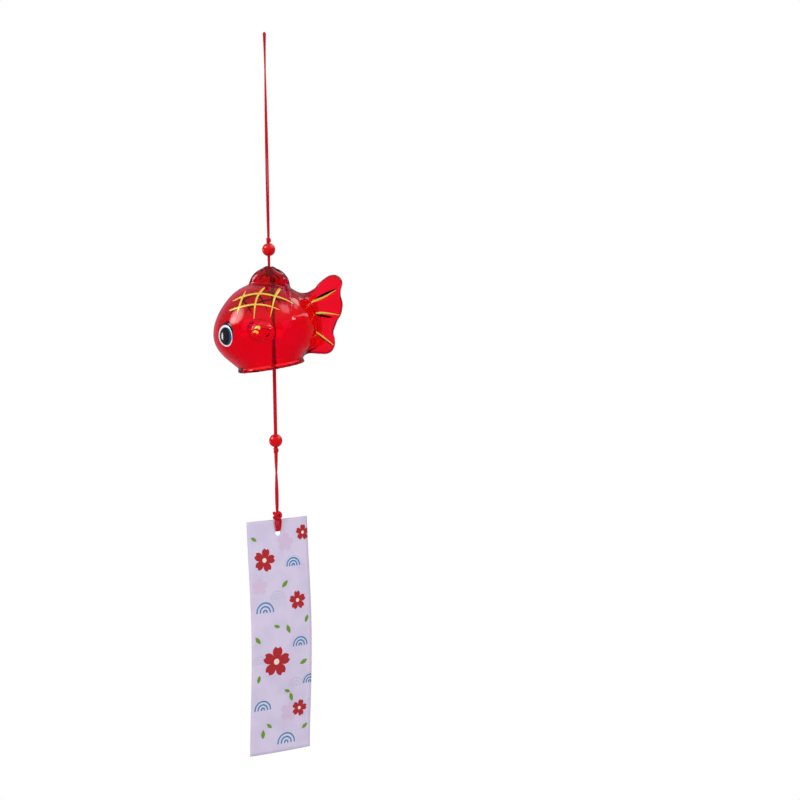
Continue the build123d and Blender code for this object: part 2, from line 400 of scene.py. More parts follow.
hook_bend = 0.8 * MM
fold_centre = strand_radius - hook_bend
close_drop = 12 * MM
fold_turn = radians(55)
fold_steps = 17
upper_knot_z = -101.65 * MM
upper_knot_radius = 1.3 * MM
hang_end = -105.6 * MM
hang_stops = [fold_centre + (hang_end - fold_centre) * s for s in (0, 0.1, 0.35, 0.7, 1)]
hang_line = route([(0, 0, stop) for stop in hang_stops])
drop_share = np.clip((fold_centre - hang_line[:, 2]) / close_drop, 0, 1)
spread = hook_bend + (strand_offset - hook_bend) * np.sin(drop_share * pi / 2)
half_turn = fold_turn + pi * (fold_centre - hang_line[:, 2]) / (fold_centre - upper_knot_z)
lean = np.stack([np.cos(half_turn), np.sin(half_turn), 0 * half_turn], 1) * spread[:, None]
fold_side = Vector((cos(fold_turn), sin(fold_turn), 0)) * hook_bend
fold_rise = Vector((0, 0, hook_bend))
fold_place = Vector((0, 0, fold_centre))
bends = np.linspace(0, pi, fold_steps)
fold = np.array([fold_side * cos(bend) + fold_rise * sin(bend) + fold_place for bend in bends])
folded_line = np.concatenate([(hang_line + lean)[:0:-1], fold, (hang_line - lean)[1:]])
bm = bmesh.new()
add_strand(bm, folded_line, strand_radius)
hanging_cord = fitted("cord_upper", bm, thread, None, ("hanging_loop", "hanging_cord"))
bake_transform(hanging_cord)

# Knots: the doubled thread is tied over itself and pulled tight, so each knot shows two full turns
# that weave over and under. The upper one stops the bead from sliding up the cord.
knot_turns, knot_crossings, knot_steps = 2, 3, 180


def tied(name, centre, radius, body, node, widen=1.0):
    """A tight knot of cord within a radius of its centre."""
    thick = 0.41 * radius
    ring_radius = 0.46 * radius * widen
    weave = 0.13 * radius
    rise = 0.62 * radius
    line = []
    for t in np.linspace(0, tau, knot_steps, endpoint=False):
        around, through = knot_turns * t, knot_crossings * t
        out = ring_radius + weave * cos(through)
        line.append((out * cos(around), out * sin(around), rise * sin(through)))
    bm = bmesh.new()
    add_strand(bm, np.array(line) + np.array(centre), thick, closed=True)
    return fitted(name, bm, thread, body, (node,))


upper_knot = tied(
    "knot_upper", (0, 0, upper_knot_z), upper_knot_radius, "hanging_line", "upper_knot"
)

# Upper bead: a round bead of red pressed glass, glossy, with a drilled bore whose mouth is a little
# worn. The cord passes through it and the knot rests on it.
upper_bead_radius = 3.3 * MM
bead_bore = 0.95 * MM
bead_ease = 0.18 * MM
bead_sides = 64
bead_bands = 40


def own_place(tree):
    """Each point's place in its object's own space."""
    return Wire.add(tree, "ShaderNodeTexCoord", output="Object")


bead_glass, tree, shader = new_finish(
    "red_bead_glass",
    {"IOR": 1.5, "Transmission Weight": 0.35, "Coat Weight": 0.35, "Coat Roughness": 0.05},
)
cloud = own_place(tree).noise(420, 2)
bead_red = cloud.rise(0.3, 0.7).mix((0.93, 0.008, 0.008, 1), (0.78, 0.003, 0.010, 1))
bead_red.to(shader, "Base Color")
(cloud * 0.10 + 0.05).to(shader, "Roughness")
cloud.bump(shader, 0.12, 0.0002)


def outward(bm):
    """Turn the faces of a closed mesh outwards."""
    bm.normal_update()
    bmesh.ops.recalc_face_normals(bm, faces=bm.faces)


def turned(centre, outline, sides):
    """A mesh turned about an upright axis from a closed outline of radii and heights."""
    bm = bmesh.new()
    angles = [tau * k / sides for k in range(sides)]
    rings = []
    for out, rise in outline:
        places = [centre + Vector((out * cos(a), out * sin(a), rise)) for a in angles]
        rings.append([bm.verts.new(place) for place in places])
    for upper, lower in zip(rings, rings[1:] + rings[:1]):
        for k in range(sides):
            nxt = (k + 1) % sides
            bm.faces.new((upper[k], lower[k], lower[nxt], upper[nxt])).smooth = True
    outward(bm)
    return bm


def middle_of(node):
    """The middle of a CAD node's box."""
    low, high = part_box(node)
    return (low + high) / 2


def threaded(name, radius, body, node):
    """A drilled bead in its node's place: the ball, the eased mouths of its bore, and the bore."""
    end = asin((bead_bore + bead_ease) / radius)
    bands = np.linspace(end, pi - end, bead_bands)
    mouth = radius * cos(end) - bead_ease
    outline = [(radius * sin(a), radius * cos(a)) for a in bands]
    outline += [(bead_bore, -mouth), (bead_bore, 0), (bead_bore, mouth)]
    bm = turned(middle_of(node), outline, bead_sides)
    return fitted(name, bm, bead_glass, body, (node,))


threaded("bead_upper", upper_bead_radius, "hanging_line", "upper_bead")

# Neck cord: the same doubled thread between the upper bead and the back fin. It carries the whole
# weight of the fish, and its strands lie close.
neck_half_turns, neck_fullness = 0.35, 0.9


def twisted(name, top, bottom, half_turns, body, node, fuller):
    """Two strands that turn about each other down a straight line, as a piece and its line."""
    line = route([Vector(top).lerp(Vector(bottom), s) for s in (0, 0.2, 0.6, 1)])
    angle = half_turns * pi * (line[0, 2] - line[:, 2]) / (line[0, 2] - line[-1, 2])
    lean = np.stack([np.cos(angle), np.sin(angle), 0 * angle], 1) * strand_offset * min(fuller, 1)
    bm = bmesh.new()
    add_strand(bm, line + lean, strand_radius * fuller)
    add_strand(bm, line - lean, strand_radius * fuller)
    return fitted(name, bm, thread, body, (node,)), line


stopper_place = Vector((0, 0, -117.783 * MM))
neck_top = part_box("neck_cord")[1].z
neck_ends = ((0, 0, neck_top), stopper_place)
twisted("cord_neck", *neck_ends, neck_half_turns, "neck", "neck_cord", neck_fullness)

# Fish bell: one piece of blown red glass, worked hot at the lamp. The round hollow body is open
# below at a rolled lip, the back fin is pulled up from it, the tail is pinched flat and fanned out,
# and a low fin is set on each flank. It hangs on the cord by the hole in its back fin.
rim_tilt = radians(8.58)
along = Vector((cos(rim_tilt), 0, sin(rim_tilt)))
upward = Vector((-sin(rim_tilt), 0, cos(rim_tilt)))
apex = Vector((0, 0, -114.15))
mouth = apex - along * 7.4 - upward * 50.5

outline_reach = 30
body_setback = -0.5
equator_height = 18.6
body_outline = (
    *((15.5, -0.6), (15.9, 1.7), (18.2, 4.7), (22.3, 10.0), (24.9, 15.5), (25.4, 18.6)),
    *((24.4, 24.5), (21.3, 30.5), (16.8, 35.8), (11.6, 39.95), (6.1, 42.3), (0, 43.0)),
)
fin_half = (10.3, 5.4, 9.5)
fin_sink = 0.75
nib_radius, nib_rise, nib_seam = 2.8, 0.45, 2.0
hole_radius, hole_depth = 1.4, 6
tail_middle = (27, 20)
tail_outline = (
    *((12.5, 34), (23.1, 32.8), (27, 34.6), (30, 37.2), (33.9, 39.5), (37.2, 40.5), (39.9, 39.9)),
    *((41.95, 37.3), (40.6, 32), (40.35, 29), (40.45, 26.2), (38.9, 20.9), (35.6, 16.5)),
    *((33.7, 12.6), (33.7, 9.2), (32.2, 4.4), (29.1, 2.4), (25.5, 2.9), (20.5, 4.4), (12.5, 8)),
)
tail_groove_start = (14, 20)
tail_groove_angle = radians(21.5)
tail_groove_depth, tail_groove_width = 0.7, 0.22
tail_groove_from, tail_groove_to = 20, 27
tail_fullness = 0.3
tail_edge_slope = 0.85
tail_rounding = 0.42
root_start, root_end, root_valley = 14, 29, 24
root_start_width, root_end_width = 18.2, 1.2
root_start_top, root_valley_top, root_bottom = 40.2, 33.3, 6
root_width_fall, root_top_fall = 1.15, 1.6
root_fillet = 6
root_fillet_sides, root_fillet_back = (2, 8), (13, 19)
root_wall, root_wall_seam = 2.0, 1.0
mouth_shift, mouth_shift_height = 0.55, 14
side_fin_place = (-2.6, 19.9, 24.7)
side_fin_half = (5.4, 4.6, 3.1)
side_fin_seam = 0.5
fin_hollow_seam = 1.5
lip_out, lip_seam = 0.15, 0.7
least_slope = 0.0001
glass_step = 0.48
glass_margin = 1.5


def length_of(*parts):
    """The length of a step from its parts."""
    squares = [part * part for part in parts]
    return sum(squares[1:], squares[0]).maths("SQRT")


def egg(centre, halves):
    """How far a place is outside an egg, from its offset to the egg's centre and the half axes."""
    shares = [offset / half for offset, half in zip(centre, halves)]
    slopes = [offset / (half * half) for offset, half in zip(centre, halves)]
    ratio = length_of(*shares)
    return ratio * (ratio - 1) / length_of(*slopes).maths("MAXIMUM", least_slope)


def outline_radius(tree, angle, corners, low, high, largest):
    """An outline's distance from its middle at an angle, drawn smoothly through its corners."""
    places = sorted((atan2(up, out), hypot(out, up)) for out, up in corners)
    knots = [((a - low) / (high - low), r / largest) for a, r in places]
    share = (angle - low) / (high - low)
    return Wire.add(tree, "ShaderNodeFloatCurve", {"curve": knots}, {"Value": share}) * largest


def geometry_tree(name, kinds):
    """A new tree of geometry nodes with inputs of these kinds."""
    tree = bpy.data.node_groups.new(name, "GeometryNodeTree")
    tree.interface.new_socket("Geometry", in_out="OUTPUT", socket_type="NodeSocketGeometry")
    for socket_name, kind in kinds.items():
        tree.interface.new_socket(socket_name, in_out="INPUT", socket_type=f"NodeSocket{kind}")
    return tree


fish_sizes = {
    "Wall": 1.9,
    "Fin Wall": 2.1,
    "Tail Thickness": 3.8,
    "Lip Height": 0.95,
    "Lip Radius": 0.95,
    "Fin Seam": 1.1,
    "Root Seam": 3.0,
    "Tail Seam": 5.0,
}
fish_tree = geometry_tree("blown_fish", dict.fromkeys(fish_sizes, "Float"))
given = Wire.add(fish_tree, "NodeGroupInput")
place = Wire.add(fish_tree, "GeometryNodeInputPosition")
row = place.vector("SCALE", 1 / MM)
x, y, z = row.split()
from_mouth = row.vector("SUBTRACT", mouth)
back, up = from_mouth.dot(along), from_mouth.dot(upward)

shift = (1 - up.rise(0, mouth_shift_height)) * mouth_shift
ring = length_of(back - body_setback - shift, y)
level = up - equator_height
body_radius = outline_radius(
    fish_tree,
    level.maths("ARCTAN2", ring),
    [(out, rise - equator_height) for out, rise in body_outline],
    -pi / 2,
    pi / 2,
    outline_reach,
)
body = length_of(ring, level) - body_radius

fin_centre = apex.z - fin_sink - fin_half[2]
fin = egg((x, y, z - fin_centre), fin_half)
nib = length_of(x, y, z - (apex.z + nib_rise - nib_radius)) - nib_radius

tail_back = back - tail_middle[0]
tail_up = up - tail_middle[1]
tail_radius = outline_radius(
    fish_tree,
    tail_up.maths("ARCTAN2", tail_back),
    [(out - tail_middle[0], rise - tail_middle[1]) for out, rise in tail_outline],
    -pi,
    pi,
    outline_reach,
)
tail_edge = (length_of(tail_back, tail_up) - tail_radius - tail_fullness) * tail_edge_slope
groove_angle = (up - tail_groove_start[1]).maths("ARCTAN2", back - tail_groove_start[0])
groove = 1 - abs(abs(groove_angle) - tail_groove_angle).rise(0, tail_groove_width)
groove_depth = groove * back.rise(tail_groove_from, tail_groove_to) * tail_groove_depth
tail_half = given["Tail Thickness"] * 0.5 - groove_depth
rounding = given["Tail Thickness"] * tail_rounding
past_edge = tail_edge + rounding
past_face = abs(y) - tail_half + rounding
tail = (
    length_of(past_edge.maths("MAXIMUM", 0), past_face.maths("MAXIMUM", 0))
    + past_edge.maths("MAXIMUM", past_face).maths("MINIMUM", 0)
    - rounding
)
root_share = ((root_end - back) / (root_end - root_start)).maths("MAXIMUM", 0)
root_widening = root_share.maths("POWER", root_width_fall)
root_width = root_widening * (root_start_width - root_end_width) + root_end_width
valley_share = ((root_valley - back) / (root_valley - root_start)).maths("MAXIMUM", 0)
root_climb = valley_share.maths("POWER", root_top_fall)
root_top = root_climb * (root_start_top - root_valley_top) + root_valley_top
root_half_height = (root_top - root_bottom) / 2
from_middle = up - (root_top + root_bottom) / 2
middle_share = (from_middle / root_half_height).maths("POWER", 2)
fullness = (1 - middle_share).maths("MAXIMUM", 0).maths("SQRT")
root = (abs(y) - root_width * fullness).maths("MAXIMUM", abs(from_middle) - root_half_height)
root = root.maths("MAXIMUM", back - root_end).maths("MAXIMUM", root_start - back)

flank = (back - side_fin_place[0], up - side_fin_place[1], abs(y) - side_fin_place[2])
side_fin = egg(flank, side_fin_half)

root_flow = abs(y).rise(*root_fillet_sides) * back.rise(*root_fillet_back)
root_seam = given["Root Seam"] + root_flow * root_fillet
drawn = body.maths("SMOOTH_MIN", root, root_seam).maths("SMOOTH_MIN", tail, given["Tail Seam"])
outer = drawn.maths("SMOOTH_MIN", fin, given["Fin Seam"]).maths("SMOOTH_MIN", nib, nib_seam)
outer = outer.maths("SMOOTH_MIN", side_fin, side_fin_seam)
fin_hollow = egg((x, y, z - fin_centre), [half - given["Fin Wall"] for half in fin_half])
hollow = (body + given["Wall"]).maths("SMOOTH_MIN", drawn + root_wall, root_wall_seam)
hollow = hollow.maths("SMOOTH_MIN", fin_hollow, fin_hollow_seam)
glass = outer.maths("MAXIMUM", 0 - hollow).maths("MAXIMUM", given["Lip Height"] - up)
lip_ring = ring - (body_outline[1][0] + lip_out)
lip = length_of(lip_ring, up - given["Lip Height"]) - given["Lip Radius"]
glass = glass.maths("SMOOTH_MIN", lip, lip_seam)
hole = (length_of(x, y) - hole_radius).maths("MAXIMUM", (apex.z - hole_depth) - z)
glass = glass.maths("MAXIMUM", 0 - hole)


def marks(direction, *distances):
    """How far along a direction the places at these distances from the mouth lie."""
    return [(mouth.dot(direction) + distance) * MM for distance in distances]


red_glass, tree, shader = new_finish(
    "red_blown_glass", {"IOR": 1.48, "Transmission Weight": 1.0, "Specular IOR Level": 0.5}
)
object_place = own_place(tree)
melt = object_place.noise(55, 2)
handling = object_place.noise(160, 5)
swirl = melt.rise(0.3, 0.7)
blown_red = swirl.mix((0.92, 0.004, 0.095, 1), (0.87, 0.002, 0.072, 1))
solid_red = swirl.mix((0.90, 0.006, 0.026, 1), (0.84, 0.003, 0.016, 1))
limb_shade_red = swirl.mix((0.74, 0.003, 0.035, 1), (0.66, 0.002, 0.028, 1))
top_shade_red = swirl.mix((0.72, 0.003, 0.060, 1), (0.64, 0.002, 0.048, 1))
lit_lip_red = swirl.mix((0.98, 0.030, 0.030, 1), (0.95, 0.020, 0.020, 1))
tailward, skyward = object_place.dot(along), object_place.dot(upward)
sideways = abs(object_place.split()[1])
root_begins, tail_start, tail_full = marks(along, 14, 17, 25)
lip_low, lip_high = marks(upward, 1.6, 3.2)
back_low, back_high, fin_low, fin_high = marks(upward, 26, 37, 40, 46)
depth = Wire.add(tree, "ShaderNodeAttribute", {"attribute_name": "depth"}, output="Fac")
tail_rim = Wire.add(tree, "ShaderNodeAttribute", {"attribute_name": "tail_edge"}, output="Fac")
inside = depth.rise(0.8, 1.4)
on_fin = skyward.rise(fin_low, fin_high)
# Painted shade: the body turns a deeper red towards the top of its back, less so on the back fin.
top_shade_share = skyward.rise(back_low, back_high) * (1 - on_fin * 0.6)
# Painted shade: the glass turns a darker red near the middle plane, where the flanks turn away at
# the outline.
body_red = (1 - sideways.rise(6 * MM, 17 * MM)).mix(blown_red, limb_shade_red)
body_red = top_shade_share.mix(body_red, top_shade_red)
# Painted shade: the back fin's outer face goes near black along its middle plane, drawing dark
# edges at its outline.
fin_edge_shade = on_fin * (1 - sideways.rise(1.3 * MM, 2.6 * MM)) * (1 - inside)
body_red = fin_edge_shade.mix(body_red, (0.16, 0.001, 0.012, 1))
# Painted shade: the tail darkens to a deep red close to its edge.
edge_shaded_tail_red = tail_rim.rise(-1.5, -0.6).mix(solid_red, (0.24, 0.002, 0.012, 1))
body_red = tailward.rise(tail_start, tail_full).mix(body_red, edge_shaded_tail_red)
# Painted light: the rolled lip takes a lighter, oranger red for the bright band of light it
# carries.
(1 - skyward.rise(lip_low, lip_high)).mix(body_red, lit_lip_red).to(shader, "Base Color")
(handling.rise(0.5, 0.85) * 0.03).to(shader, "Roughness")
inside_tail = inside * tailward.rise(root_begins, tail_start)
(1 - inside_tail * (1 - sideways.rise(0.15 * MM, 0.6 * MM))).to(shader, "Alpha")
melt.bump(shader, 0.05, 0.0006)

low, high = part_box("fish_bell")
margin = Vector((glass_margin, glass_margin, glass_margin)) * MM
low, high = low - margin, high + margin
counts = [round((b - a) / (glass_step * MM)) for a, b in zip(low, high)]
field = {"Density": 0 - glass, "Background": -glass_margin, "Min": low, "Max": high}
field.update({f"Resolution {axis}": count for axis, count in zip("XYZ", counts)})
cube = Wire.add(fish_tree, "GeometryNodeVolumeCube", {}, field)
skin = cube.into("GeometryNodeVolumeToMesh", {}, {"Threshold": 0.0})
blur = {"Value": place, "Iterations": 4}
smooth_place = Wire.add(fish_tree, "GeometryNodeBlurAttribute", {"data_type": "FLOAT_VECTOR"}, blur)
for step, values in (
    ("SetPosition", {"Position": smooth_place}),
    ("SetShadeSmooth", {}),
    ("StoreNamedAttribute", {"Name": "depth", "Value": 0 - outer}),
    ("StoreNamedAttribute", {"Name": "tail_edge", "Value": tail_edge}),
    ("RealizeInstances", {}),
    ("SetMaterial", {"Material": red_glass}),
):
    skin = skin.into(f"GeometryNode{step}", {}, values)
skin.to(fish_tree.nodes.new("NodeGroupOutput"), "Geometry")


def from_nodes(name, mesh, node_tree, values):
    """The plain mesh that a tree of geometry nodes makes of a mesh."""
    carrier = placed(name, mesh)
    modifier = carrier.modifiers.new(name, "NODES")
    modifier.node_group = node_tree
    for socket_name, value in values.items():
        modifier[node_tree.interface.items_tree[socket_name].identifier] = value
    evaluated = carrier.evaluated_get(bpy.context.evaluated_depsgraph_get())
    made = bpy.data.meshes.new_from_object(evaluated)
    bpy.data.objects.remove(carrier)
    made.name = name
    return made


fish_mesh = from_nodes("fish_glass", bpy.data.meshes.new("fish_start"), fish_tree, fish_sizes)
fish = placed("fish_glass", fish_mesh)
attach(fish, "bell")
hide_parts("fish_bell")

# Gold lines: brush strokes of gold enamel, fired on. A lattice of scales lies on each flank, three
# rays fan over each face of the tail, and two short dabs mark each side fin.
lay_kinds = {"Geometry": "Geometry", "Glass": "Object", "Middle": "Vector", "Press": "Vector"}
lay_tree = geometry_tree("laid_on_glass", {**lay_kinds, "Flatness": "Float"})
given = Wire.add(lay_tree, "NodeGroupInput")
place = Wire.add(lay_tree, "GeometryNodeInputPosition")
lay_reach = 60 * MM
glass_side = 0.1
sunk = place.vector("SUBTRACT", given["Middle"]).dot(given["Press"])
start = place.vector("SUBTRACT", given["Press"].vector("SCALE", sunk + lay_reach))
own_space = {"transform_space": "ORIGINAL"}
surface = given["Glass"].into("GeometryNodeObjectInfo", own_space, {}, "Geometry")
cast = {"Source Position": start, "Ray Direction": given["Press"], "Ray Length": lay_reach * 2}
met = surface.into("GeometryNodeRaycast", {}, cast, "Hit Position")
lift = met["Hit Normal"].vector("SCALE", sunk * given["Flatness"] * -1)
moved = {"Selection": met["Is Hit"], "Position": met.vector("ADD", lift)}
laid = given["Geometry"].into("GeometryNodeSetPosition", {}, moved)
laid = laid.into("GeometryNodeRealizeInstances")
laid.to(lay_tree.nodes.new("NodeGroupOutput"), "Geometry")


def laid_on_glass(name, flat, middle, press, flatness, finish):
    """Press a flat mesh onto the glass, with a share of its own thickness kept, as a piece."""
    values = {"Glass": fish, "Middle": tuple(middle), "Press": tuple(press), "Flatness": flatness}
    mesh = from_nodes(name, flat, lay_tree, values)
    mesh.materials.clear()
    mesh.materials.append(finish)
    mesh.materials.append(shaded_enamel_back)
    for face in mesh.polygons:
        face.material_index = int(face.normal.dot(Vector(press)) > glass_side)
    mesh.shade_smooth()
    piece = placed(name, mesh)
    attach(piece, "bell")
    return piece


# Painted shade: the faces of the strokes and eyes that lie against the glass are near black, so
# they show dark through it.
shaded_enamel_back, tree, shader = new_finish("shaded_enamel_back", {"Specular IOR Level": 0.2})
grain = own_place(tree).noise(900, 3)
grain.mix((0.010, 0.004, 0.006, 1), (0.035, 0.012, 0.010, 1)).to(shader, "Base Color")
(grain * 0.2 + 0.5).to(shader, "Roughness")

gold, tree, shader = new_finish(
    "gold_enamel", {"Metallic": 0.25, "Coat Weight": 0.3, "Coat Roughness": 0.12}
)
brush = own_place(tree).noise(900, 4)
gold_tone = brush.rise(0.35, 0.7).mix((0.95, 0.66, 0.09, 1), (0.84, 0.52, 0.04, 1))
gold_tone.to(shader, "Base Color")
(brush * 0.3 + 0.2).to(shader, "Roughness")
brush.bump(shader, 0.3, 0.00006)

# Each stroke is its points, as setback and height in the fish's own frame, and its half widths.
scale_strokes = (
    (
        ((-13.8, 36.5), (-8.4, 38.3), (-0.6, 38.6), (6.6, 36), (12, 33.2), (15.2, 30.4)),
        (0.25, 0.4, 0.42, 0.38, 0.3, 0.1),
    ),
    (
        ((-16.4, 32.3), (-11.5, 33.4), (-4.1, 33.8), (2.2, 32.2), (7.6, 29)),
        (0.4, 0.45, 0.38, 0.38, 0.12),
    ),
    (((-6.5, 40.4), (-9.1, 37.4), (-11.4, 33.4), (-13.2, 30)), (0.2, 0.4, 0.45, 0.1)),
    (((3, 40.6), (-0.8, 38.2), (-3.4, 34.4), (-5.6, 26.8)), (0.45, 0.45, 0.4, 0.1)),
    (((10.4, 38.7), (6.9, 35.9), (5, 32.2), (2.5, 26.6)), (0.85, 0.5, 0.4, 0.1)),
)
tail_strokes = (
    (((24.9, 29.2), (31.4, 30.3), (38.4, 33)), (0.6, 0.5, 0.12)),
    (((26.2, 23.4), (31.1, 22.7), (37.8, 20.4)), (0.6, 0.45, 0.12)),
    (((24.6, 14.4), (28.5, 10.3), (32.4, 6)), (0.45, 0.45, 0.2)),
)
far_tail_strokes = (
    (((25.2, 28.6), (29.6, 30.9), (34.5, 32.5), (38.5, 33.6)), (0.3, 0.6, 0.6, 0.12)),
    (((26.1, 22.4), (29.6, 21.2), (32.4, 20.2), (34.6, 19.7)), (0.5, 0.65, 0.5, 0.12)),
    (((24.6, 14.6), (27.2, 10.9), (29.8, 8.5), (31.6, 6)), (0.4, 0.5, 0.45, 0.2)),
)
fin_strokes = (
    (((-6, 22.5), (-4.9, 22.9), (-3.8, 22.5), (-4.4, 21.4)), (0.35, 0.8, 0.65, 0.2)),
    (((-7.4, 20.9), (-6.1, 20.8), (-5, 20.4), (-5.7, 19.5)), (0.3, 0.62, 0.5, 0.2)),
)
lattice_middle = -0.5
stroke_round, stroke_steps = 4, 16
stroke_flatness = 0.22
end_width = 0.05

for side_name, side in (("left", -1), ("right", 1)):
    curve = bpy.data.curves.new(f"gold_{side_name}", "CURVE")
    curve.dimensions = "3D"
    curve.bevel_depth = MM
    curve.bevel_resolution = stroke_round
    curve.resolution_u = stroke_steps
    curve.use_fill_caps = True
    rays = tail_strokes if side < 0 else far_tail_strokes
    layout = ((scale_strokes, side > 0), (rays, False), (fin_strokes, False))
    for strokes, mirrored_lattice in layout:
        for points, widths in strokes:
            spots = []
            for setback, rise in (points[0], *points, points[-1]):
                if mirrored_lattice:
                    setback = 2 * lattice_middle - setback
                spots.append((mouth + along * setback + upward * rise) * MM)
            add_spline(curve, spots, (end_width, *widths, end_width))
    carrier = bpy.data.objects.new(f"gold_{side_name}", curve)
    strokes_mesh = bpy.data.meshes.new_from_object(carrier)
    bpy.data.curves.remove(curve)
    lines_name, inward = f"gold_lines_{side_name}", (0, -side, 0)
    laid_on_glass(lines_name, strokes_mesh, mouth * MM, inward, stroke_flatness, gold)

# Eyes: a round of thick enamel on each cheek, white under a deep blue iris and a black pupil, domed
# and glossy from the kiln. A dark disc below it, set a little up and back, shows as a crescent at
# its upper edge: painted shade of the eye on the glass.
eye_place = (-20.8, 20.6, 15.0)
eye_radius = 5.4 * MM
body_centre = (mouth + along * body_setback + upward * equator_height) * MM

eye_enamel, tree, shader = new_finish(
    "eye_enamel", {"Coat Weight": 1.0, "Coat Roughness": 0.03, "Specular IOR Level": 0.6}
)
eye_uv = unwrapped(tree)
eye_u, eye_v, _ = eye_uv.split()
eye_x, eye_y = eye_u * 2 - 1, eye_v * 2 - 1
waver = eye_uv.noise(5, 2)
wobble = (waver - 0.5) * 0.05
from_iris = length_of(eye_x - 0.10, eye_y + 0.05) + wobble
from_pupil = length_of(eye_x - 0.02, eye_y + 0.03) + wobble
iris = 1 - from_iris.rise(0.80, 0.84)
pupil = 1 - from_pupil.rise(0.64, 0.74)
lit_side = (eye_x - eye_y * 0.3).rise(0.1, 0.8)
blue = lit_side.mix((0.003, 0.010, 0.018, 1), (0.010, 0.085, 0.19, 1))
ring_white = waver.mix((0.72, 0.80, 0.92, 1), (0.90, 0.93, 0.97, 1))
eye_paint = pupil.mix(iris.mix(ring_white, blue), (0.012, 0.010, 0.015, 1))
eye_paint.to(shader, "Base Color")
(waver * 0.12 + 0.08).to(shader, "Roughness")

# Painted shade: a near-black disc under each eye, shifted up and back from it.
eye_ground, tree, shader = new_finish("eye_ground", {"Coat Weight": 1.0, "Coat Roughness": 0.05})
thin_spots = own_place(tree).noise(600, 3)
eye_shade_tone = thin_spots.rise(0.4, 0.7).mix((0.020, 0.004, 0.026, 1), (0.075, 0.010, 0.030, 1))
eye_shade_tone.to(shader, "Base Color")
(thin_spots * 0.2 + 0.1).to(shader, "Roughness")
eye_shade_shift = (0.85 * MM, 0.95 * MM)
eye_shade_dome, eye_dome = 0.015, 0.05
eye_sides, eye_bands = 64, 32

for side_name, side in (("left", -1), ("right", 1)):
    cheek = (mouth + along * eye_place[0] + upward * eye_place[1]) * MM
    cheek.y = side * eye_place[2] * MM
    press = (body_centre - cheek).normalized()
    to_tail = (along - press * along.dot(press)).normalized()
    to_brow = (upward - press * upward.dot(press)).normalized()
    to_brow = (to_brow - to_tail * to_brow.dot(to_tail)).normalized()
    under = cheek + to_tail * eye_shade_shift[0] + to_brow * eye_shade_shift[1]
    for coat_name, middle, dome, finish in (
        ("eye_ground", under, eye_shade_dome, eye_ground),
        ("eye", cheek, eye_dome, eye_enamel),
    ):
        bm = bmesh.new()
        bmesh.ops.create_uvsphere(bm, u_segments=eye_sides, v_segments=eye_bands, radius=1)
        layer = uv_layer(bm)
        for face in bm.faces:
            for loop in face.loops:
                loop[layer].uv = (loop.vert.co.x * 0.5 + 0.5, loop.vert.co.y * 0.5 + 0.5)
        for vertex in bm.verts:
            out, rise, lift = vertex.co
            vertex.co = middle + (to_tail * out + to_brow * rise - press * lift) * eye_radius
        outward(bm)
        eye_mesh = bpy.data.meshes.new(f"{coat_name}_{side_name}")
        bm.to_mesh(eye_mesh)
        bm.free()
        laid_on_glass(f"{coat_name}_{side_name}", eye_mesh, middle, press, dome, finish)

# Stopper knot: the neck cord's two ends are tied off under the hole in the back fin and left long,
# so the cut ends fray and droop inside the glass.
stopper_radius = 2.2 * MM
tied("knot_stopper", stopper_place, stopper_radius, "stopper", "stopper_knot")
frayed_ends = ((4.6, 3.2, -0.6), (4.9, 3.5, 0.2), (4.5, 2.4, 0.4), (4.2, 2.2, -0.1))
knee_reach, knee_drop, knee_start = 0.72, 0.45, 0.6
bm = bmesh.new()
for side in (-1, 1):
    for reach, drop, aside in frayed_ends:
        knee = stopper_place + Vector((side * reach * knee_reach, aside, -drop * knee_drop)) * MM
        tip = stopper_place + Vector((side * reach, aside * 2, -drop)) * MM
        out_of_knot = stopper_place.lerp(knee, knee_start)
        add_strand(bm, route([stopper_place, out_of_knot, knee, tip]), strand_radius)
fitted("cord_cut_ends", bm, thread, "stopper", ())

# Clapper line: a second doubled thread is tied to the stopper knot. It runs down the middle of the
# mouth through a short tube of clear glass that strikes the rim, then a bead and its knot.
clapper_place = Vector((1.6 * MM, 0, -121.449 * MM))
lower_knot_place = Vector((1.6 * MM, 0, -206.65 * MM))
clapper_knot_radius, lower_knot_radius, lower_bead_radius = 1.5 * MM, 1.4 * MM, 3.35 * MM
clapper_half_turns, lower_fullness = 0.1, 1.22
clapper_ends = (clapper_place, lower_knot_place)
tied("knot_clapper", clapper_place, clapper_knot_radius, "clapper_tie", "clapper_knot")
clapper_cord, clapper_path = twisted(
    "cord_clapper",
    *clapper_ends,
    clapper_half_turns,
    "clapper_line",
    "clapper_cord",
    lower_fullness,
)
lower_knot = tied("knot_lower", lower_knot_place, lower_knot_radius, "clapper_line", "lower_knot")
lower_bead = threaded("bead_lower", lower_bead_radius, "clapper_line", "lower_bead")

clear_glass, tree, shader = new_finish("clear_tube_glass", {"IOR": 1.3, "Transmission Weight": 1.0})
streak = own_place(tree).into("ShaderNodeMapping", {}, {"Scale": (1, 1, 0.05)}).noise(1500, 2)
streak.mix((0.97, 0.99, 0.98, 1), (0.93, 0.96, 0.96, 1)).to(shader, "Base Color")
(streak * 0.05).to(shader, "Roughness")

tube_low, tube_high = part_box("clapper_tube")
tube_outer, tube_bore, tube_edge = 1.3 * MM, 1.0 * MM, 0.15 * MM
tube_sides, tube_edge_steps = 48, 6
tube_half = (tube_high.z - tube_low.z) / 2
tube_outline = [
    (tube_outer - tube_edge + tube_edge * sin(a), tube_half - tube_edge + tube_edge * cos(a))
    for a in np.linspace(0, pi / 2, tube_edge_steps)
]
tube_outline += [(out, -rise) for out, rise in reversed(tube_outline)]
tube_outline += [(tube_bore, -tube_half), (tube_bore, 0), (tube_bore, tube_half)]
bm = turned(middle_of("clapper_tube"), tube_outline, tube_sides)
clapper_tube = fitted(
    "tube_clapper", bm, clear_glass, "clapper_line", ("clapper_tube",)
)

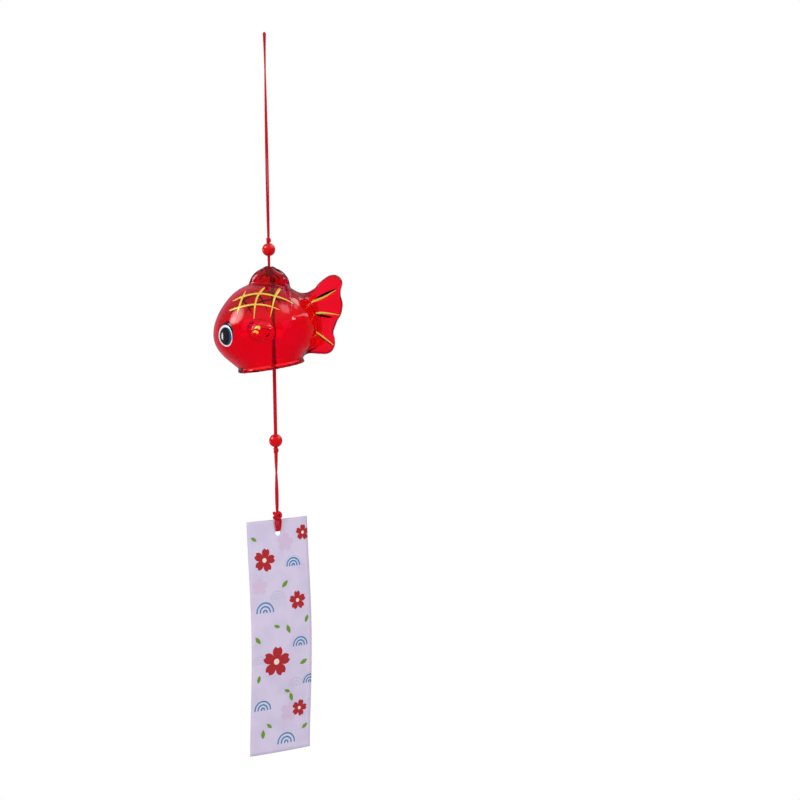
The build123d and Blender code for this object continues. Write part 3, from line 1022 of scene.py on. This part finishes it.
# Strip cord and loop: the thread runs on below the bead, is knotted again above the paper and goes
# twice through the punched hole, doubled, so four strands lie on each face of the card.
strip_knot_place = Vector((1.6 * MM, 0, -239.6 * MM))
strip_half_turns = 1.4
strip_knot_radius, strip_knot_widening = 1.9 * MM, 1.75
strip_ends = (lower_knot_place, strip_knot_place)
strip_cord, strip_path = twisted(
    "cord_strip", *strip_ends, strip_half_turns, "strip_line", "strip_cord", lower_fullness
)
strip_knot = tied(
    "knot_strip", strip_knot_place, strip_knot_radius, "strip", "strip_knot", strip_knot_widening
)
strip_turn = radians(26.4)
strip_across = Vector((cos(strip_turn), sin(strip_turn), 0))
strip_face = Vector((sin(strip_turn), -cos(strip_turn), 0))
strip_top = Vector((1.6 * MM, 0, -241.6 * MM))
hole_margin, strip_hole = 6.8 * MM, 1.55 * MM
loop_half_span, loop_play = 0.85 * MM, 0.05 * MM
loop_belly, loop_turn_out = 0.12, 1.15
loop_low = -hole_margin + strip_hole - loop_play - strand_radius
loop_strands = (
    (-1.75, -0.95, 0),
    (-0.60, -0.33, 0.25),
    (0.60, 0.33, 0.25),
    (1.75, 0.95, 0),
)
bm = bmesh.new()
for top_offset, hole_offset, layer_share in loop_strands:
    span = loop_half_span + layer_share * strand_radius * 2
    low_point = loop_low - layer_share * strand_radius
    spread_top = strip_top + strip_across * (top_offset * MM)
    drawn_in = strip_top + strip_across * (hole_offset * MM) + Vector((0, 0, low_point))
    halfway = spread_top.lerp(drawn_in, 0.5) + strip_across * (top_offset * loop_belly * MM)
    loop_points = [
        strip_knot_place,
        spread_top - strip_face * span,
        halfway - strip_face * span,
        drawn_in - strip_face * span * loop_turn_out,
        drawn_in + strip_face * span * loop_turn_out,
        halfway + strip_face * span,
        spread_top + strip_face * span,
        strip_knot_place,
    ]
    add_strand(bm, route(loop_points), strand_radius)
strip_loop = fitted("cord_strip_loop", bm, thread, "strip", ("strip_loop",))

# Paper strip: a stiff lavender card with a soft fibre, printed on both faces with blossoms, waves
# and leaves, cut square and punched near the top. It catches the wind and swings the clapper.
strip_width, strip_length, strip_thickness = 35 * MM, 119.5 * MM, 0.3 * MM
edge_curl, curl_at_top = 0.7 * MM, 0.4
long_bow, bow_power = 3.2 * MM, 1.5
foot_swing = 1.0 * MM
patch_cells, side_cells, long_cells = 8, 6, 62
patch_ring_count, patch_ring_power = 5, 1.6
weld_scale = 1e7
half_width = strip_width / 2
columns = np.concatenate(
    [
        np.linspace(-half_width, -hole_margin, side_cells + 1)[:-1],
        np.linspace(-hole_margin, hole_margin, patch_cells + 1),
        np.linspace(hole_margin, half_width, side_cells + 1)[1:],
    ]
)
rows = np.concatenate(
    [
        np.linspace(0, 2 * hole_margin, patch_cells + 1),
        np.linspace(2 * hole_margin, strip_length, long_cells + 1)[1:],
    ]
)


def on_strip(across, down):
    """A place on the hung strip from its place on the flat one."""
    share = across / half_width
    hang = down / strip_length
    curl = edge_curl * share * share * (curl_at_top + (1 - curl_at_top) * hang)
    bow = long_bow * sin(pi * hang) ** bow_power - foot_swing * hang
    return strip_top + strip_across * across + strip_face * (bow - curl) + Vector((0, 0, -down))


bm = bmesh.new()
layer = uv_layer(bm)
flat_faces = []
patch_columns = range(side_cells, side_cells + patch_cells)
for i in range(len(columns) - 1):
    for j in range(len(rows) - 1):
        if i in patch_columns and j < patch_cells:
            continue
        flat_faces.append(
            [(columns[a], rows[b]) for a, b in ((i, j), (i, j + 1), (i + 1, j + 1), (i + 1, j))]
        )
border = [(columns[side_cells + k], 0) for k in range(patch_cells)]
border += [(hole_margin, rows[k]) for k in range(patch_cells)]
border += [(-columns[side_cells + k], 2 * hole_margin) for k in range(patch_cells)]
border += [(-hole_margin, rows[patch_cells - k]) for k in range(patch_cells)]
patch_rings = []
for share in np.linspace(0, 1, patch_ring_count) ** patch_ring_power:
    patch_ring = []
    for across, down in border:
        angle = atan2(down - hole_margin, across)
        from_hole = strip_hole * (1 - share)
        out = across * share + from_hole * cos(angle)
        below_middle = (down - hole_margin) * share + from_hole * sin(angle)
        patch_ring.append((out, hole_margin + below_middle))
    patch_rings.append(patch_ring)
for inner, outer_ring in zip(patch_rings, patch_rings[1:]):
    for k in range(len(border)):
        nxt = (k + 1) % len(border)
        flat_faces.append([inner[k], inner[nxt], outer_ring[nxt], outer_ring[k]])
made = {}
for corners in flat_faces:
    verts = []
    for across, down in corners:
        key = (round(across * weld_scale), round(down * weld_scale))
        if key not in made:
            made[key] = bm.verts.new((across, down, 0))
        verts.append(made[key])
    bm.faces.new(verts)
outward(bm)
if bm.faces[:][0].normal.z < 0:
    bmesh.ops.reverse_faces(bm, faces=bm.faces)
for face in bm.faces:
    face.smooth = True
    for loop in face.loops:
        across, down, _ = loop.vert.co
        loop[layer].uv = (across / strip_width + 0.5, 1 - down / strip_length)
for vertex in bm.verts:
    across, down, _ = vertex.co
    vertex.co = on_strip(across, down)

paper, tree, shader = new_finish(
    "printed_paper", {"Specular IOR Level": 0.25, "Sheen Weight": 0.05}
)
paper_u, paper_v, _ = unwrapped(tree).split()
across_mm = (paper_u - 0.5) * (strip_width / MM)
down_mm = (1 - paper_v) * (strip_length / MM)
paper_mm = across_mm.into("ShaderNodeCombineXYZ", {}, {1: down_mm})
pulp = paper_mm.noise(2.2, 6)
cloudy = paper_mm.noise(0.09, 2)
fibre_lay = {"Rotation": (0, 0, 0.5), "Scale": (6, 0.7, 1)}
fibre_way = paper_mm.into("ShaderNodeMapping", {}, fibre_lay)
hair = fibre_way.noise(1, 3)
ragged = (pulp - 0.5) * 0.35

# Each motif is its place across and down the card, its size and, where it has one, its turn.
blossoms = ((-8.5, 20, 6.2, 0.2), (9.5, 42, 5.0, 0.9), (-3.5, 72, 8.0, 0.5), (10.5, 98, 4.6, 0.1))
blossoms += ((14.5, 8, 4.2, 0.6),)
waves = ((8, 24, 4.4), (-9.5, 46, 5.6), (10.5, 65, 4.8), (-11, 96, 5.2), (3, 115, 5.8))
waves += ((16.5, 85, 4.4),)
leaves = ((-14, 9, 1.9, 0.6), (2.5, 33, 2.4, 2.4), (-3, 54, 1.9, 0.3), (3.6, 56, 2.4, 1.2))
leaves += ((14.5, 52, 2.1, 2.0), (-14, 60, 2.3, 0.9), (12.5, 74, 2.4, 2.7), (-13.5, 80, 2.1, 1.8))
leaves += ((3, 88, 1.9, 0.4), (5.4, 91.4, 2.4, 1.3), (-7, 105, 1.9, 0.7), (-10.5, 109, 2.4, 1.6))
leaves += ((14, 108, 2.1, 2.5),)
pale_blossoms = ((4, 12, 5.0, 0.4), (-12, 33, 4.6, 0.7), (4.5, 99, 5.5, 0.2))
pale_waves = ((-2, 40, 4.6), (8, 86, 5.0), (-13, 72, 4.4))


def printed(motif, spots):
    """How much of a motif's ink lies at each place on the paper."""
    ink, *others = [motif(*spot) for spot in spots]
    for other in others:
        ink = ink.maths("MAXIMUM", other)
    return ink


def from_spot(across, down):
    """Steps across and down to each place on the paper from the middle of a motif."""
    return across_mm - across, down_mm - down


def blossom(across, down, size, turn):
    """A five-petalled flower with notched petals."""
    right, below = from_spot(across, down)
    angle = below.maths("ARCTAN2", right) * 2.5 + turn
    petal = abs(angle.maths("COSINE"))
    notch = petal.rise(0.93, 1.0) * (0.12 * size)
    edge = petal.maths("POWER", 0.55) * (0.58 * size) + 0.42 * size - notch
    return 1 - (length_of(right, below) + ragged - edge).rise(-0.15, 0.15)


def heart(across, down, size):
    """The flower's open middle."""
    return 1 - length_of(*from_spot(across, down)).rise(size * 0.17, size * 0.21)


def wave(across, down, size):
    """A wave crest of the old fan kind: three arches, one inside the other."""
    right, below = from_spot(across, down)
    out = length_of(right, below)
    half_gap = size / 6
    line = 1 - (out + ragged * 0.4 + half_gap).maths("PINGPONG", half_gap).rise(0.30, 0.46)
    return line * (1 - out.rise(size + 0.4, size + 0.5)) * (1 - (below + ragged).rise(0.3, 0.55))


def leaf(across, down, size, turn):
    """A small pointed leaf."""
    right, below = from_spot(across, down)
    lengthwise = (right * cos(turn) + below * sin(turn)) / size
    crosswise = abs(below * cos(turn) - right * sin(turn))
    half_leaf = (1 - lengthwise * lengthwise) * (0.45 * size)
    return 1 - (crosswise + ragged - half_leaf).rise(-0.1, 0.15)


ground = cloudy.rise(0.35, 0.65).mix((0.66, 0.585, 0.76, 1), (0.61, 0.54, 0.72, 1))
ground = (hair.rise(0.55, 0.8) * 0.25).mix(ground, (0.66, 0.58, 0.74, 1))
faint = printed(blossom, pale_blossoms) * 0.55
ground = faint.mix(ground, (0.63, 0.43, 0.61, 1))
faint = printed(wave, pale_waves) * 0.5
ground = faint.mix(ground, (0.46, 0.44, 0.60, 1))
inked = printed(wave, waves).mix(ground, (0.030, 0.215, 0.42, 1))
inked = printed(leaf, leaves).mix(inked, (0.150, 0.300, 0.020, 1))
flower = pulp.rise(0.3, 0.7).mix((0.46, 0.020, 0.028, 1), (0.38, 0.013, 0.020, 1))
inked = printed(blossom, blossoms).mix(inked, flower)
inked = printed(heart, [spot[:3] for spot in blossoms]).mix(inked, (0.80, 0.70, 0.62, 1))
inked.to(shader, "Base Color")
(pulp * 0.2 + 0.62).to(shader, "Roughness")
paper_height = pulp * 0.6 + hair * 0.4
paper_height.bump(shader, 0.25, 0.00008)
paper_strip = fitted("strip_paper", bm, paper, "strip", ("paper_strip",))
card = paper_strip.modifiers.new("card", "SOLIDIFY")
card.thickness = strip_thickness
card.offset = 0
